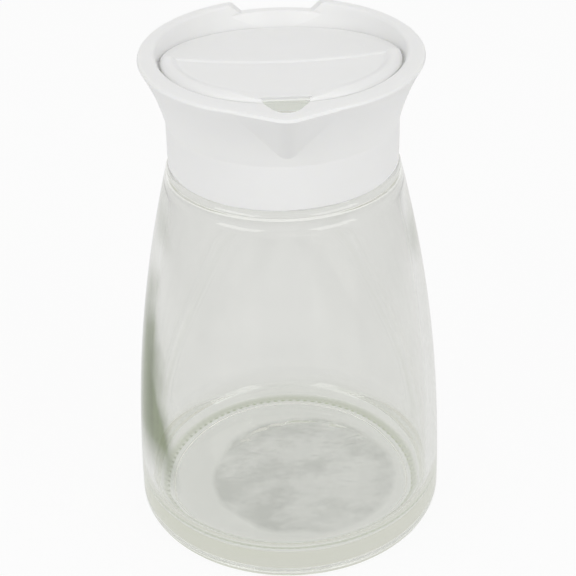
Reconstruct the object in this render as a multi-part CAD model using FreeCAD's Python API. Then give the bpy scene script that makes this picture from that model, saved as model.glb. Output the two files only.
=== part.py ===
import FreeCAD, Part
import math
import os

# Sugar dispenser: a glass jar, a white collar screwed onto its neck, and a
# rocker flap that lies in the well of the collar.  Millimetres.  The axis of
# the jar is Z, the jar stands on z = 0, and the pouring beak points to -Y.

# ------------------------------------------------------------------ main sizes
BODY_RADIUS = 38.76          # widest radius of the jar, at the top of the heel
NECK_TOP = 107.5             # height of the rim of the glass
NECK_RADIUS = 23.4           # outside of the neck
RIM_RADIUS = 32.6            # widest radius of the collar's rim
TOP = NECK_TOP + 17.5        # flat top of that rim

# ---------------------------------------------------------------- jar, outside
BEARING_RADIUS = BODY_RADIUS - 4.16  # outer edge of the ring the jar stands on
BEARING_WIDTH = 2.6          # width of that ring
HEEL_TOP = 4.65              # where the rounded heel meets the side
LOWER_BOW = 412.5            # section radius of the lower part of the side
UPPER_BOW = 358.4            # section radius of the upper part of the side
BOW_CHANGE = 36.3            # height at which one bow runs into the other
SHOULDER_TOP = NECK_TOP - 9.5  # height of the shoulder ledge at the neck
SHOULDER_HEIGHT = SHOULDER_TOP - 1.6  # height at which the shoulder turns in
SHOULDER_ROUND = 1.7         # run of the rounded shoulder, across
NECK_FILLET = 0.8            # hollow corner between shoulder and neck
RIM_ROUND = 0.7              # rounding of the two edges of the glass rim

# ----------------------------------------------------------------- jar, inside
WALL = 2.7                   # glass thickness of the side
BORE_RADIUS = NECK_RADIUS - 3.0  # inside of the neck
BORE_BOTTOM = SHOULDER_TOP + 1.5  # where the bore opens into the shoulder
INNER_SHOULDER = SHOULDER_HEIGHT - 4.9  # height at which the inside turns in
INNER_WAIST = (BORE_RADIUS + 2.65, SHOULDER_TOP - 2.75)  # there it bends back to the bore
CORNER_TOP = 13.0            # height at which the side turns into the corner
FLOOR_RING = (BODY_RADIUS - 11.76, 6.6)  # radius and height of the low ring of the floor
FLOOR_CENTRE = 7.4           # height of the middle of the floor

# -------------------------------------------------------------- jar, underside
PUSH_UP_RADIUS = 23.0        # edge of the raised round panel underneath
PUSH_UP_STEP = 0.6           # height of the step at that edge
PUSH_UP_BEVEL = 0.5          # that step slopes over this width
PUSH_UP_BASE = 1.5           # height of the underside just outside the step
PUSH_UP_CENTRE = 3.0         # height of the underside at the axis
RING_RUN = 1.6               # rounded inner side of the bearing ring, across
RING_RISE = 1.1              # and up

# ------------------------------------------------------------- collar, outside
COLLAR_BOTTOM = NECK_TOP - 9.1  # lower edge of the skirt
SKIRT_RADIUS = NECK_RADIUS + 3.7  # outside of the skirt
SKIRT_EDGE = 0.4             # rounding of the lower edge
CREASE_HEIGHT = NECK_TOP + 2.0  # where the skirt ends and the flare begins
FLARE_HOLLOW = 0.6           # how far the flare bows inward at mid height
RIM_WIDEST = TOP - 0.8       # height of the widest point of the rim
RIM_EDGE = 2.0               # run of the softly rounded edge across the top
RIM_CORNER = 0.3             # inward step of the tighter corner at its outside
RIM_CORNER_FALL = 0.16       # that corner lies this far below the top

# -------------------------------------------------------------- collar, inside
THREAD_ROOM_RADIUS = NECK_RADIUS + 1.7  # inside of the skirt round the neck
DECK_THICKNESS = 1.8         # ring that seals on the glass rim
MOUTH_RADIUS = BORE_RADIUS - 1.0  # round hole through the deck
WELL_RADIUS = RIM_RADIUS - 4.9  # well in which the flap lies
WELL_FOOT_WALL = 1.2         # wall between the foot of the well and the skirt
WELL_FLARE_WALL = 2.2        # wall between the well and the straight flare
DISH_EXTRA = 1.45            # the sloping dish round the well is this much wider
DISH_SHIFT = 1.45            # and is set back this far towards the thumb notch
DISH_TOP = TOP + 1.0         # height at which those two sizes are taken
DISH_LOW_HEIGHT = TOP - 3.0  # height of the lower edge of the dish at Y = 0
DISH_LOW_SLOPE = 0.108       # fall of that lower edge towards the back
DISH_ROUND = 0.9             # rounding where the dish meets the top of the rim

# ----------------------------------------------------------------- thumb notch
NOTCH_FLOOR = TOP - 2.5      # floor of the notch
NOTCH_FLOOR_WIDTH = 16.9     # width of the floor
NOTCH_TOP_WIDTH = 22.8       # width at the top of the rim
NOTCH_ROUND = 1.1            # rounding of the two corners along the floor
HORN_ROUND = 2.6             # rounding of the two horns beside the notch
HORN_LIFT = 0.05             # that rounding ends this far above the rim
NOTCH_WALL = 2.1             # thickness of the wall left at the notch
SCOOP_CENTRE = 7.9           # the scoop inside the notch is turned about this Y
SCOOP_BOTTOM = TOP - 6.1     # lower edge of the scoop
SCOOP_SLANT = 0.61           # its wall leans out by this much for each mm up

# ------------------------------------------------------------------ pour beak
BEAK_REACH = RIM_RADIUS + 3.1  # front of the beak from the axis
BEAK_NOSE = 5.5              # radius of the nose of the beak
BEAK_FOOT = TOP - 14.0       # height at which the beak has died away
BEAK_ROOT = 0.25             # the flanks start this far inside the rim
BEAK_BACK = 16.0             # the solid beak reaches in to here before the well is cut
POUR_TIP = BEAK_REACH - 3.8  # tip of the pour opening from the axis
POUR_TIP_ROUND = 3.2         # radius of that tip
POUR_BACK = WELL_RADIUS - 2.4  # distance from the axis of the edge at the flap
POUR_BACK_WIDTH = 11.8       # width of the opening at that edge
POUR_LIP_HEIGHT = TOP - 1.7  # start of the floor of the opening at its tip
POUR_LIP_RUN = 2.2           # length of the gently falling lip
POUR_LIP_FALL = 0.6          # fall of the lip over that length
POUR_THROAT = TOP - 7.4      # height at which the opening enters the well
POUR_THROAT_SET = 0.2        # that point lies this far inside the well wall
POUR_INNER_RUN = 6.0         # the opening is cut this far in behind its back edge
POUR_SOFTEN = 0.4            # slanted edge round the top of the opening

# ----------------------------------------------------------------------- flap
FLAP_GAP = 0.3               # gap between flap and well
FLAP_THICKNESS = 1.6         # thickness of the plate
PLATE_HEIGHT = TOP - 1.26    # height of the front plate, taken at Y = 0
PLATE_SLOPE = 0.066          # rise of the front plate towards the beak
CREST_HEIGHT = 0.75          # raised edge of the plate
CREST_INSET = 2.0            # top of that edge, in from the outside
CREST_WIDTH = 4.4            # whole width of the raised edge
CREST_FADE_FROM = 6.0        # behind the pour opening it is left out as far as this from the middle
CREST_FADE_TO = 11.5         # and has its full height again from here
CREST_FADE_ABOVE = 0.03      # the plate is left this much higher there
EDGE_DROP = 0.6              # outer edge of the plate lies this much lower
LIP_THICKNESS = 0.6          # thickness of that outer edge
LIP_WIDTH = 1.9              # width of the thin lip round the front plate
POUR_EDGE = 0.6              # thickness of the plate at the pour opening
POUR_EDGE_RUN = 2.2          # it thickens to the full plate over this length
POUR_EDGE_MARGIN = 0.5       # the thinning goes this far past the edge of the opening
REAR_HEIGHT = TOP - 1.61     # height of the rear half, taken at Y = 0
REAR_SLOPE = 0.153           # fall of the rear half towards the notch
CREASE_Y = -4.0              # where front and rear halves meet on the axis
CREASE_CURVE = 74.0          # plan radius of that curved line
BEAD_RADIUS = 1.0            # round bead along the line
BEAD_SINK = 0.62             # depth of its centre below the plate
BEAD_INSET = 1.4             # the bead ends this far in from the edge

# ---------------------------------------------------------------------- pivot
PIVOT_Y = 1.5                # axle of the flap
PIVOT_Z = TOP - 4.0
PIN_RADIUS = 1.5             # axle pins
PIN_CLEARANCE = 0.05         # radial room for a pin in its hole
PIN_LENGTH = 1.7             # how far a pin stands out of the flap
HOLE_EXTRA = 0.3             # hole is this much deeper than the pin is long
BOSS_EXTRA = 0.5             # root of each pin under the plate is this much thicker
BOSS_LENGTH = 6.0            # length of that root, in from the edge of the flap
BOSS_SETBACK = 0.4           # the root ends this far short of the edge
RIB_DEPTH = 3.4              # cross rib under the flap, below the pivot
RIB_THICKNESS = 1.6
LEDGE_WIDTH = 1.5            # ledge on the well wall that the front lip comes to rest on
LEDGE_DEPTH = 2.0
LEDGE_GAP = 0.3              # room between lip and ledge when closed
LEDGE_FROM = 20.0            # degrees either side of the beak
LEDGE_TO = 82.0
LEDGE_ROOT = 0.5             # the ledge is rooted this deep in the wall

BIG = 60.0                   # larger than anything on the part
OVERRUN = 1.0                # a cut runs this far past the surface it opens
SEAM_TURN = 90.0             # turns the seam of a round solid to the back


def vec(x, y, z):
    """Shorthand for a FreeCAD vector."""
    return FreeCAD.Vector(x, y, z)


def line(a, b):
    """Straight edge between two (radius, height) points of a section."""
    return Part.LineSegment(vec(a[0], 0, a[1]), vec(b[0], 0, b[1])).toShape()


def arc(a, m, b):
    """Circular edge through three (radius, height) points of a section."""
    ends = [vec(p[0], 0, p[1]) for p in (a, m, b)]
    return Part.Arc(*ends).toShape()


def arc_from(start, heading, end):
    """Circular edge that leaves the start along a heading and reaches the end."""
    across = end[0] - start[0]
    up = end[1] - start[1]
    swing = math.atan2(heading[0] * up - heading[1] * across, heading[0] * across + heading[1] * up)
    bulge = 0.5 * math.tan(0.5 * swing)
    middle = (0.5 * (start[0] + end[0]) + bulge * up, 0.5 * (start[1] + end[1]) - bulge * across)
    return arc(start, middle, end)


def quarter(a, b, corner):
    """Rounded corner from a to b that bulges towards the corner point."""
    blend = math.sqrt(0.5)
    mid = [a[i] + b[i] - corner[i] + blend * (2 * corner[i] - a[i] - b[i]) for i in (0, 1)]
    return arc(a, mid, b)


def revolve(edges):
    """Solid of revolution about Z from the edges of a closed section."""
    wire = Part.Wire(Part.__sortEdges__(edges))
    face = Part.Face(wire)
    return face.revolve(vec(0, 0, 0), vec(0, 0, 1), 360)


def revolve_polygon(points):
    """Solid of revolution from straight-sided (radius, height) corners."""
    edges = [line(points[i - 1], points[i]) for i in range(len(points))]
    return revolve(edges)


def prism_y(corners, y_from, y_to):
    """Solid with the given (x, z) corners that runs along Y."""
    ring = [vec(x, y_from, z) for x, z in corners]
    face = Part.Face(Part.makePolygon(ring + ring[:1]))
    return face.extrude(vec(0, y_to - y_from, 0))


def prism_x(corners, half_width):
    """Solid with the given (y, z) corners that runs along X both ways."""
    ring = [vec(-half_width, y, z) for y, z in corners]
    face = Part.Face(Part.makePolygon(ring + ring[:1]))
    return face.extrude(vec(2 * half_width, 0, 0))


def column(radius):
    """Tall cylinder about Z through the lid, its seam turned to the back."""
    solid = Part.makeCylinder(radius, 2 * BIG, vec(0, 0, TOP - BIG))
    solid.rotate(vec(0, 0, 0), vec(0, 0, 1), SEAM_TURN)
    return solid


def one_solid(shape):
    """Return the single solid held by a shape, or stop if it isn't one sound solid."""
    if len(shape.Solids) != 1 or not shape.isValid():
        raise ValueError("expected one sound solid, found %d" % len(shape.Solids))
    return shape.Solids[0]


def bow_centres():
    """Section centres of the lower and the upper bow, as (radius, height)."""
    lower = (BODY_RADIUS - LOWER_BOW, HEEL_TOP)
    turn = math.asin((BOW_CHANGE - HEEL_TOP) / LOWER_BOW)
    step = LOWER_BOW - UPPER_BOW
    upper = (lower[0] + step * math.cos(turn), lower[1] + step * math.sin(turn))
    return lower, upper


def side_point(z, inset=0.0):
    """Point of the side at a height, moved into the glass by the inset."""
    lower, upper = bow_centres()
    turn = math.asin((BOW_CHANGE - HEEL_TOP) / LOWER_BOW)
    change = lower[1] + (LOWER_BOW - inset) * math.sin(turn)
    centre, bow = (lower, LOWER_BOW) if z < change else (upper, UPPER_BOW)
    return (centre[0] + math.sqrt((bow - inset) ** 2 - (z - centre[1]) ** 2), z)


def side_arcs(z_from, z_to, inset=0.0):
    """The two arcs of the side between two heights, moved in by the inset."""
    lower, _ = bow_centres()
    turn = math.asin((BOW_CHANGE - HEEL_TOP) / LOWER_BOW)
    change = lower[1] + (LOWER_BOW - inset) * math.sin(turn)
    ends = (z_from, change, z_to)
    marks = [[side_point(0.5 * (a + b) + k * 0.5 * (b - a), inset) for k in (-1, 0, 1)]
             for a, b in zip(ends, ends[1:])]
    return [arc(*mark) for mark in marks]


def side_slope(z):
    """Direction of the side going up at a height."""
    _, upper = bow_centres()
    return (-(z - upper[1]) / UPPER_BOW, 1.0)


def jar_side():
    """Outside of the jar from the bearing ring up to the glass rim."""
    heel = arc_from((BODY_RADIUS, HEEL_TOP), (0.0, -1.0), (BEARING_RADIUS, 0.0))
    turn_in = side_point(SHOULDER_HEIGHT)
    ledge = (turn_in[0] - SHOULDER_ROUND, SHOULDER_TOP)
    shoulder = arc_from(ledge, (1.0, 0.0), turn_in)
    neck_foot = (NECK_RADIUS + NECK_FILLET, SHOULDER_TOP)
    neck_low = (NECK_RADIUS, SHOULDER_TOP + NECK_FILLET)
    neck_high = (NECK_RADIUS, NECK_TOP - RIM_ROUND)
    rim_out = (NECK_RADIUS - RIM_ROUND, NECK_TOP)
    return [heel] + side_arcs(HEEL_TOP, SHOULDER_HEIGHT) + [
        shoulder,
        line(ledge, neck_foot),
        quarter(neck_foot, neck_low, (NECK_RADIUS, SHOULDER_TOP)),
        line(neck_low, neck_high),
        quarter(neck_high, rim_out, (NECK_RADIUS, NECK_TOP)),
    ]


def jar_inside():
    """Inside of the jar from the glass rim down to the middle of the floor."""
    rim_out = (NECK_RADIUS - RIM_ROUND, NECK_TOP)
    rim_in = (BORE_RADIUS + RIM_ROUND, NECK_TOP)
    bore_high = (BORE_RADIUS, NECK_TOP - RIM_ROUND)
    bore_low = (BORE_RADIUS, BORE_BOTTOM)
    under_shoulder = side_point(INNER_SHOULDER, WALL)
    corner = side_point(CORNER_TOP, WALL)
    return side_arcs(CORNER_TOP, INNER_SHOULDER, WALL) + [
        line(rim_out, rim_in),
        quarter(rim_in, bore_high, (BORE_RADIUS, NECK_TOP)),
        line(bore_high, bore_low),
        arc_from(under_shoulder, side_slope(INNER_SHOULDER), INNER_WAIST),
        arc_from(bore_low, (0.0, -1.0), INNER_WAIST),
        arc_from(corner, (0.0, -1.0), FLOOR_RING),
        arc_from((0.0, FLOOR_CENTRE), (1.0, 0.0), FLOOR_RING),
    ]


def jar_underside():
    """Underside of the jar from the middle out to the bearing ring."""
    centre = (0.0, PUSH_UP_CENTRE)
    panel_edge = (PUSH_UP_RADIUS - PUSH_UP_BEVEL, PUSH_UP_BASE + PUSH_UP_STEP)
    step_foot = (PUSH_UP_RADIUS, PUSH_UP_BASE)
    ring_inner = (BEARING_RADIUS - BEARING_WIDTH, 0.0)
    ring_rise = (ring_inner[0] - RING_RUN, RING_RISE)
    ring_outer = (BEARING_RADIUS, 0.0)
    return [
        arc_from(centre, (1.0, 0.0), panel_edge),
        line(panel_edge, step_foot),
        line(step_foot, ring_rise),
        arc_from(ring_inner, (-0.2, 1.0), ring_rise),
        line(ring_inner, ring_outer),
    ]


def build_jar():
    """Glass jar with a rounded heel, a narrowing side, a shoulder and a neck."""
    axis = line((0.0, FLOOR_CENTRE), (0.0, PUSH_UP_CENTRE))
    return one_solid(revolve(jar_side() + jar_inside() + jar_underside() + [axis]))


def flare_radius(z):
    """Outside radius of the straight flare at a height."""
    part = (z - CREASE_HEIGHT) / (RIM_WIDEST - CREASE_HEIGHT)
    return SKIRT_RADIUS + part * (RIM_RADIUS - SKIRT_RADIUS)


def collar_blank():
    """Skirt, hollow flare and rounded rim as a closed solid without the well."""
    mid_z = 0.5 * (CREASE_HEIGHT + RIM_WIDEST)
    flare_mid = (flare_radius(mid_z) - FLARE_HOLLOW, mid_z)
    crease = (SKIRT_RADIUS, CREASE_HEIGHT)
    widest = (RIM_RADIUS, RIM_WIDEST)
    rim_in = (RIM_RADIUS - RIM_EDGE, TOP)
    turn_over = (RIM_RADIUS - RIM_CORNER, TOP - RIM_CORNER_FALL)
    foot = (SKIRT_RADIUS, COLLAR_BOTTOM + SKIRT_EDGE)
    foot_in = (SKIRT_RADIUS - SKIRT_EDGE, COLLAR_BOTTOM)
    return revolve([
        quarter(foot_in, foot, (SKIRT_RADIUS, COLLAR_BOTTOM)),
        line(foot, crease),
        arc(crease, flare_mid, widest),
        arc_from(widest, (0.25, 1.0), turn_over),
        arc_from(rim_in, (1.0, 0.0), turn_over),
        line(rim_in, (0.0, TOP)),
        line((0.0, TOP), (0.0, COLLAR_BOTTOM)),
        line((0.0, COLLAR_BOTTOM), foot_in),
    ])


def teardrop(reach, nose, body, z):
    """Plan outline of the beak: a nose arc with two straight flanks."""
    centre = reach - nose
    turn = math.acos((body - nose) / centre)
    touch_x = nose * math.sin(turn)
    touch_y = centre + nose * math.cos(turn)
    root_x = body * math.sin(turn)
    root_y = body * math.cos(turn)
    tip = vec(0, -reach, z)
    left = vec(-touch_x, -touch_y, z)
    right = vec(touch_x, -touch_y, z)
    root_left = vec(-root_x, -root_y, z)
    root_right = vec(root_x, -root_y, z)
    back = [vec(side * root_x, -BEAK_BACK, z) for side in (1, -1)]
    return Part.Wire([
        Part.LineSegment(root_left, left).toShape(),
        Part.Arc(left, tip, right).toShape(),
        Part.LineSegment(right, root_right).toShape(),
        Part.LineSegment(root_right, back[0]).toShape(),
        Part.LineSegment(back[0], back[1]).toShape(),
        Part.LineSegment(back[1], root_left).toShape(),
    ])


def beak():
    """Pouring beak that grows out of the flare towards the top of the rim."""
    shrink = (flare_radius(BEAK_FOOT) - 2 * BEAK_ROOT) / BEAK_REACH
    root = RIM_RADIUS - BEAK_ROOT
    low = teardrop(BEAK_REACH * shrink, BEAK_NOSE * shrink, root * shrink, BEAK_FOOT)
    high = teardrop(BEAK_REACH, BEAK_NOSE, root, RIM_WIDEST)
    stages = [low, high]
    for inset, fall in ((RIM_CORNER, RIM_CORNER_FALL), (RIM_EDGE, 0.0)):
        stages.append(teardrop(BEAK_REACH - inset, BEAK_NOSE - inset, root - inset, TOP - fall))
    return Part.makeLoft(stages, True, True)


def well_tool():
    """Everything cut from inside the collar: thread room, mouth and well."""
    deck_bottom = NECK_TOP
    deck_top = NECK_TOP + DECK_THICKNESS
    room = revolve_polygon([
        (0.0, COLLAR_BOTTOM - OVERRUN), (THREAD_ROOM_RADIUS, COLLAR_BOTTOM - OVERRUN),
        (THREAD_ROOM_RADIUS, deck_bottom), (0.0, deck_bottom)])
    mouth = Part.makeCylinder(MOUTH_RADIUS, BIG, vec(0, 0, COLLAR_BOTTOM))
    lean = (RIM_RADIUS - SKIRT_RADIUS) / (RIM_WIDEST - CREASE_HEIGHT)
    straight = CREASE_HEIGHT + (WELL_RADIUS + WELL_FLARE_WALL - SKIRT_RADIUS) / lean
    well = revolve_polygon([
        (0.0, deck_top), (SKIRT_RADIUS - WELL_FOOT_WALL, deck_top),
        (WELL_RADIUS, straight), (WELL_RADIUS, TOP + OVERRUN), (0.0, TOP + OVERRUN)])
    tilt = math.atan(DISH_LOW_SLOPE)
    low = Part.Ellipse(vec(0, 0, 0), WELL_RADIUS / math.cos(tilt), WELL_RADIUS).toShape()
    low.rotate(vec(0, 0, 0), vec(0, 0, 1), 90)
    low.rotate(vec(0, 0, 0), vec(1, 0, 0), -math.degrees(tilt))
    low.translate(vec(0, 0, DISH_LOW_HEIGHT))
    high = Part.Circle(vec(0, DISH_SHIFT, DISH_TOP), vec(0, 0, 1), WELL_RADIUS + DISH_EXTRA).toShape()
    high.rotate(vec(0, DISH_SHIFT, DISH_TOP), vec(0, 0, 1), 90)
    dish = Part.makeLoft([Part.Wire([low]), Part.Wire([high])], True, True)
    return [room, mouth, well, dish]


def notch_tool():
    """Thumb notch through the back of the rim, and the shallow scoop inside it."""
    low = 0.5 * NOTCH_FLOOR_WIDTH
    high = 0.5 * NOTCH_TOP_WIDTH
    brim = TOP + HORN_LIFT
    above = TOP + 2 * OVERRUN
    slant = math.atan2(brim - NOTCH_FLOOR, high - low)
    foot_run = NOTCH_ROUND * math.tan(0.5 * slant)
    horn_run = HORN_ROUND * math.tan(0.5 * slant)
    edges = [line((foot_run - low, NOTCH_FLOOR), (low - foot_run, NOTCH_FLOOR)),
             line((-high - horn_run, above), (high + horn_run, above))]
    for side in (-1, 1):
        foot = (side * (low - foot_run), NOTCH_FLOOR)
        lower = (side * (low + foot_run * math.cos(slant)), NOTCH_FLOOR + foot_run * math.sin(slant))
        upper = (side * (high - horn_run * math.cos(slant)), brim - horn_run * math.sin(slant))
        horn = (side * (high + horn_run), brim)
        edges += [arc_from(foot, (side, 0.0), lower), line(lower, upper),
                  arc_from(horn, (-side, 0.0), upper), line(horn, (horn[0], above))]
    gate = Part.Face(Part.Wire(Part.__sortEdges__(edges)))
    gate.translate(vec(0, 0.5 * RIM_RADIUS, 0))
    gate = gate.extrude(vec(0, BIG, 0))
    reach = flare_radius(NOTCH_FLOOR) - NOTCH_WALL - SCOOP_CENTRE
    base = SCOOP_BOTTOM - OVERRUN
    scoop = revolve_polygon([
        (0.0, base), (reach - SCOOP_SLANT * (NOTCH_FLOOR - base), base),
        (reach, NOTCH_FLOOR), (reach, above), (0.0, above)])
    scoop.translate(vec(0, SCOOP_CENTRE, 0))
    return [gate, scoop]


def pour_outline(z, grow):
    """Plan outline of the rounded-V opening at a height, grown by an offset."""
    half = 0.5 * POUR_BACK_WIDTH
    centre = POUR_TIP - POUR_TIP_ROUND
    reach = centre - POUR_BACK
    lean = math.atan2(half, reach) + math.acos(POUR_TIP_ROUND / math.hypot(half, reach))
    out_x = math.sin(lean)
    out_y = -math.cos(lean)
    radius = POUR_TIP_ROUND + grow
    touch_x = radius * out_x
    touch_y = centre + radius * out_y
    slope = (half - POUR_TIP_ROUND * out_x) / (centre + POUR_TIP_ROUND * out_y - POUR_BACK)
    wide = half + slope * POUR_INNER_RUN + grow * out_x
    inner = POUR_BACK - POUR_INNER_RUN + grow * out_y
    tip = vec(0, -centre - radius, z)
    left = vec(-touch_x, -touch_y, z)
    right = vec(touch_x, -touch_y, z)
    back_left = vec(-wide, -inner, z)
    back_right = vec(wide, -inner, z)
    return Part.Wire([
        Part.LineSegment(back_left, left).toShape(),
        Part.Arc(left, tip, right).toShape(),
        Part.LineSegment(right, back_right).toShape(),
        Part.LineSegment(back_right, back_left).toShape(),
    ])


def pour_tool():
    """Rounded-V opening with a softened edge and a lip that falls into the well."""
    base = POUR_THROAT - OVERRUN
    shaft = Part.Face(pour_outline(base, 0.0)).extrude(vec(0, 0, BIG))
    lip_end = POUR_TIP - POUR_LIP_RUN
    inner = POUR_INNER_RUN + OVERRUN - POUR_BACK
    floor = prism_x([
        (-BIG, POUR_LIP_HEIGHT), (-POUR_TIP, POUR_LIP_HEIGHT),
        (-lip_end, POUR_LIP_HEIGHT - POUR_LIP_FALL), (POUR_THROAT_SET - WELL_RADIUS, POUR_THROAT),
        (inner, POUR_THROAT), (inner, TOP + OVERRUN), (-BIG, TOP + OVERRUN)], BIG)
    soften = Part.makeLoft([
        pour_outline(TOP - POUR_SOFTEN, 0.0), pour_outline(TOP + POUR_SOFTEN, 2 * POUR_SOFTEN)], True, True)
    return [shaft.common(floor), soften]


def pivot_hole(side):
    """Blind hole in the wall of the well for one axle pin."""
    depth = PIN_LENGTH + HOLE_EXTRA + FLAP_GAP
    start = side * (WELL_RADIUS - FLAP_GAP)
    return Part.makeCylinder(
        PIN_RADIUS + PIN_CLEARANCE, depth, vec(start, PIVOT_Y, PIVOT_Z), vec(side, 0, 0))


def lip_depth():
    """Depth of the underside of the front lip below the plate's top surface."""
    return EDGE_DROP + LIP_THICKNESS


def stop_ledges():
    """Two ledges on the wall of the well that the closed flap comes to rest on."""
    ring = Part.makeCylinder(WELL_RADIUS + LEDGE_ROOT, BIG, vec(0, 0, TOP - BIG))
    ring = ring.cut(Part.makeCylinder(WELL_RADIUS - LEDGE_WIDTH, BIG, vec(0, 0, TOP - BIG)))
    top_zero = PLATE_HEIGHT - lip_depth() - LEDGE_GAP
    near = top_zero + PLATE_SLOPE * BIG
    band = prism_x([
        (-BIG, near), (0.0, top_zero), (0.0, top_zero - LEDGE_DEPTH), (-BIG, near - LEDGE_DEPTH)], BIG)
    ring = ring.common(band)
    ledges = []
    for side in (-1, 1):
        corners = [vec(0, 0, 0)]
        for angle in (LEDGE_FROM, LEDGE_TO):
            turn = math.radians(angle)
            corners.append(vec(side * BIG * math.sin(turn), -BIG * math.cos(turn), 0))
        face = Part.Face(Part.makePolygon(corners + corners[:1]))
        wedge = face.extrude(vec(0, 0, BIG * 3))
        ledges.append(ring.common(wedge))
    return ledges


def dish_edge(edge):
    """True for the edges where the top of the rim drops into the dish."""
    if any(abs(v.Point.z - TOP) > 1e-3 for v in edge.Vertexes):
        return False
    middle = edge.valueAt(0.5 * (edge.FirstParameter + edge.LastParameter))
    return abs(middle.z - TOP) < 1e-3 and math.hypot(middle.x, middle.y) < RIM_RADIUS - RIM_EDGE - 0.05


def build_collar():
    """White collar: threaded skirt, flare, rim, beak, well, notch and pivot holes."""
    body = collar_blank().fuse(beak())
    for tool in well_tool():
        body = body.cut(tool)
    body = body.makeFillet(DISH_ROUND, [e for e in body.Edges if dish_edge(e)])
    body = body.fuse(stop_ledges())
    for tool in notch_tool():
        body = body.cut(tool)
    for tool in pour_tool():
        body = body.cut(tool)
    for side in (-1, 1):
        body = body.cut(pivot_hole(side))
    return one_solid(body)


def flap_radius():
    """Outside radius of the flap."""
    return WELL_RADIUS - FLAP_GAP


def crest_gap(start):
    """Space with sloping ends that takes the raised edge away behind the pour opening."""
    high = CREST_HEIGHT + OVERRUN
    run = CREST_FADE_FROM + (CREST_FADE_TO - CREST_FADE_FROM) * high / CREST_HEIGHT
    low = CREST_FADE_ABOVE
    points = [(-run, high), (-CREST_FADE_FROM, low), (CREST_FADE_FROM, low), (run, high)]
    corners = [vec(x, -start, z) for x, z in points]
    return Part.Face(Part.makePolygon(corners + corners[:1])).extrude(vec(0, -BIG, 0))


def front_disc():
    """Front plate as a tilted disc with a softly raised edge."""
    outer = flap_radius()
    crest = (outer - CREST_INSET, CREST_HEIGHT)
    edge_top = (outer, -EDGE_DROP)
    inner = (outer - CREST_WIDTH, 0.0)
    lip = outer - LIP_WIDTH
    halfway = (0.5 * (crest[0] + inner[0]), 0.5 * (crest[1] + inner[1]))
    disc = revolve([
        line((0.0, -FLAP_THICKNESS), (lip, -FLAP_THICKNESS)),
        line((lip, -FLAP_THICKNESS), (lip, -lip_depth())),
        line((lip, -lip_depth()), (outer, -lip_depth())),
        line((outer, -lip_depth()), edge_top),
        arc_from(crest, (1.0, 0.0), edge_top),
        arc_from(crest, (-1.0, 0.0), halfway),
        arc_from(inner, (1.0, 0.0), halfway),
        line(inner, (0.0, 0.0)),
        line((0.0, 0.0), (0.0, -FLAP_THICKNESS)),
    ])
    disc.rotate(vec(0, 0, 0), vec(0, 0, 1), SEAM_TURN)
    disc = disc.cut(crest_gap(outer - CREST_WIDTH - OVERRUN))
    disc.rotate(vec(0, 0, 0), vec(1, 0, 0), -math.degrees(math.atan(PLATE_SLOPE)))
    disc.translate(vec(0, 0, PLATE_HEIGHT))
    return disc


def front_zone():
    """Space in front of the curved line where the two halves of the flap meet."""
    far = CREASE_Y + CREASE_CURVE
    drop = math.sqrt(CREASE_CURVE ** 2 - BIG ** 2)
    base = TOP - BIG
    left = vec(-BIG, far - drop, base)
    middle = vec(0, CREASE_Y, base)
    right = vec(BIG, far - drop, base)
    corner_left = vec(-BIG, -BIG, base)
    corner_right = vec(BIG, -BIG, base)
    outline = Part.Wire([
        Part.Arc(left, middle, right).toShape(),
        Part.LineSegment(right, corner_right).toShape(),
        Part.LineSegment(corner_right, corner_left).toShape(),
        Part.LineSegment(corner_left, left).toShape(),
    ])
    return Part.Face(outline).extrude(vec(0, 0, 2 * BIG))


def rear_slab():
    """Rear half of the flap: a plain plate that falls towards the notch."""
    near = REAR_HEIGHT + REAR_SLOPE * BIG
    far = REAR_HEIGHT - REAR_SLOPE * BIG
    slab = prism_x([
        (-BIG, near), (BIG, far), (BIG, far - FLAP_THICKNESS), (-BIG, near - FLAP_THICKNESS)], BIG)
    return slab.common(column(flap_radius()))


def crease_bead():
    """Slim raised bead along the line where the two halves meet."""
    bead = Part.makeTorus(CREASE_CURVE, BEAD_RADIUS)
    bead.rotate(vec(0, 0, 0), vec(0, 0, 1), 0.5 * SEAM_TURN)
    bead.translate(vec(0, CREASE_CURVE, 0))
    bead.rotate(vec(0, 0, 0), vec(1, 0, 0), -math.degrees(math.atan(PLATE_SLOPE)))
    bead.translate(vec(0, CREASE_Y, PLATE_HEIGHT - PLATE_SLOPE * CREASE_Y - BEAD_SINK))
    half = Part.makeBox(2 * BIG, 0.6 * BIG, 2 * BIG, vec(-BIG, -0.5 * BIG, TOP - BIG))
    return bead.common(column(flap_radius() - BEAD_INSET)).common(half)


def flap_opening():
    """Recess in the front edge of the flap, with the plate thinned towards it."""
    base = TOP - 0.5 * BIG
    front = Part.makeBox(2 * BIG, BIG, BIG, vec(-BIG, -POUR_BACK - BIG, base))
    recess = Part.Face(pour_outline(base, 0.0)).extrude(vec(0, 0, BIG)).common(front)
    under = PLATE_HEIGHT + PLATE_SLOPE * POUR_BACK - POUR_EDGE
    low = under - FLAP_THICKNESS
    end = -POUR_BACK - POUR_EDGE_MARGIN
    thin = prism_x([
        (end, under), (-POUR_BACK, under), (POUR_EDGE_RUN - POUR_BACK, low), (end, low)],
        0.5 * POUR_BACK_WIDTH + POUR_EDGE_MARGIN)
    return recess.fuse(thin)


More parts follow.
